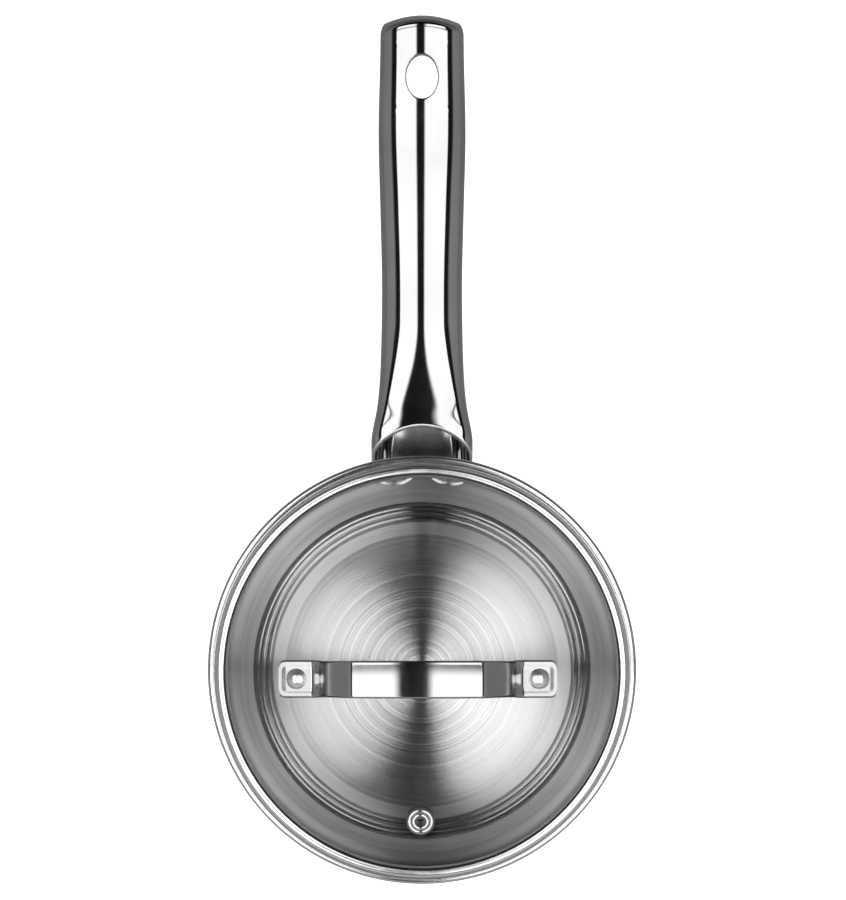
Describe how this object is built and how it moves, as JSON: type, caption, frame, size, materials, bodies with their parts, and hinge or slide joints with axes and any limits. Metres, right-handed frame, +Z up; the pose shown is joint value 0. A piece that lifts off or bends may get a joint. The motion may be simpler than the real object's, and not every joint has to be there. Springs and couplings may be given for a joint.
{
  "type": "saucepan with glass lid",
  "caption": "Stainless saucepan with a riveted hollow handle, a capsule base and a loose domed glass lid that has a steel rim, a strap handle and a steam vent.",
  "frame": {"origin": "centre of the base's underside, where the pan rests on a hob", "axes": "+Z up along the pan's axis, +Y along the long handle, X along the lid's strap handle"},
  "size_m": [0.1718, 0.3318, 0.1257],
  "materials": {
    "pan_steel": "satin inside wall, circular brushed floor, polished outside",
    "core_aluminium": "plain",
    "cap_steel": "circular brushed",
    "bracket_steel": "polished",
    "rivet_steel": "polished",
    "handle_steel": "mirror polished",
    "lid_glass": "clear",
    "band_steel": "polished",
    "strap_steel": "polished",
    "silicone": "matt",
    "vent_steel": "polished"
  },
  "bodies": {
    "pan": {"pan_vessel": "pan_steel", "base_core": "core_aluminium", "base_cap": "cap_steel", "handle_bracket": "bracket_steel", "handle_rivets": "rivet_steel", "handle_upper_shell": "handle_steel", "handle_lower_shell": "handle_steel", "hang_hole_sleeve": "handle_steel"},
    "lid": {"lid_glass": "lid_glass", "lid_rim_band": "band_steel", "lid_handle": "strap_steel", "lid_handle_rivets": "rivet_steel", "lid_handle_gaskets": "silicone", "lid_seal_washers": "silicone", "lid_backing_washers": "rivet_steel", "vent_eyelet": "vent_steel", "vent_gasket": "silicone", "vent_washer": "silicone"}
  },
  "joints": [
    {"name": "lid_lift", "type": "slide", "parent": "pan", "child": "lid", "axis": [0, 0, 1], "range_m": [0, 0.15]}
  ]
}
